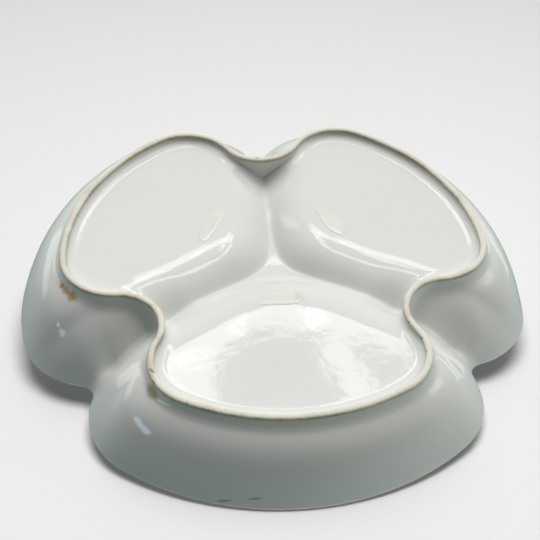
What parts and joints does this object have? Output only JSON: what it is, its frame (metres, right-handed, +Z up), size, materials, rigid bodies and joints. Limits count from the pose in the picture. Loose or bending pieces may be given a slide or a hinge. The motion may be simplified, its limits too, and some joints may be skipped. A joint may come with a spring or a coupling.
{
  "type": "divided candy dish",
  "caption": "Round lobed porcelain dish split into shallow bowls by low dividers, with a ring handle on the crown and a lobed foot ring, for sweets or nuts on a table.",
  "frame": {"origin": "on the dish's axis, in the plane that the foot ring stands on", "axes": "+Z up, out of the bowls, along the dish's axis; -Y towards the middle of the front bowl; +X to the right seen from the front"},
  "size_m": [0.2488, 0.243, 0.055],
  "materials": {
    "glaze": "glossy white glaze with a cool grey-green cast, slightly uneven",
    "biscuit": "bare matt porcelain, ground flat and stained tan along its edges",
    "pad_glaze": "thin beige glaze worn by the kiln props"
  },
  "bodies": {
    "root": {"bowl_front": "glaze", "bowl_left": "glaze", "bowl_right": "glaze", "divider_back": "glaze", "divider_left": "glaze", "divider_right": "glaze", "crown": "glaze", "handle_ring": "glaze", "foot_ring": "biscuit", "foot_wall": "glaze", "support_pad_front": "pad_glaze", "support_pad_left": "pad_glaze", "support_pad_right": "pad_glaze"}
  },
  "joints": []
}
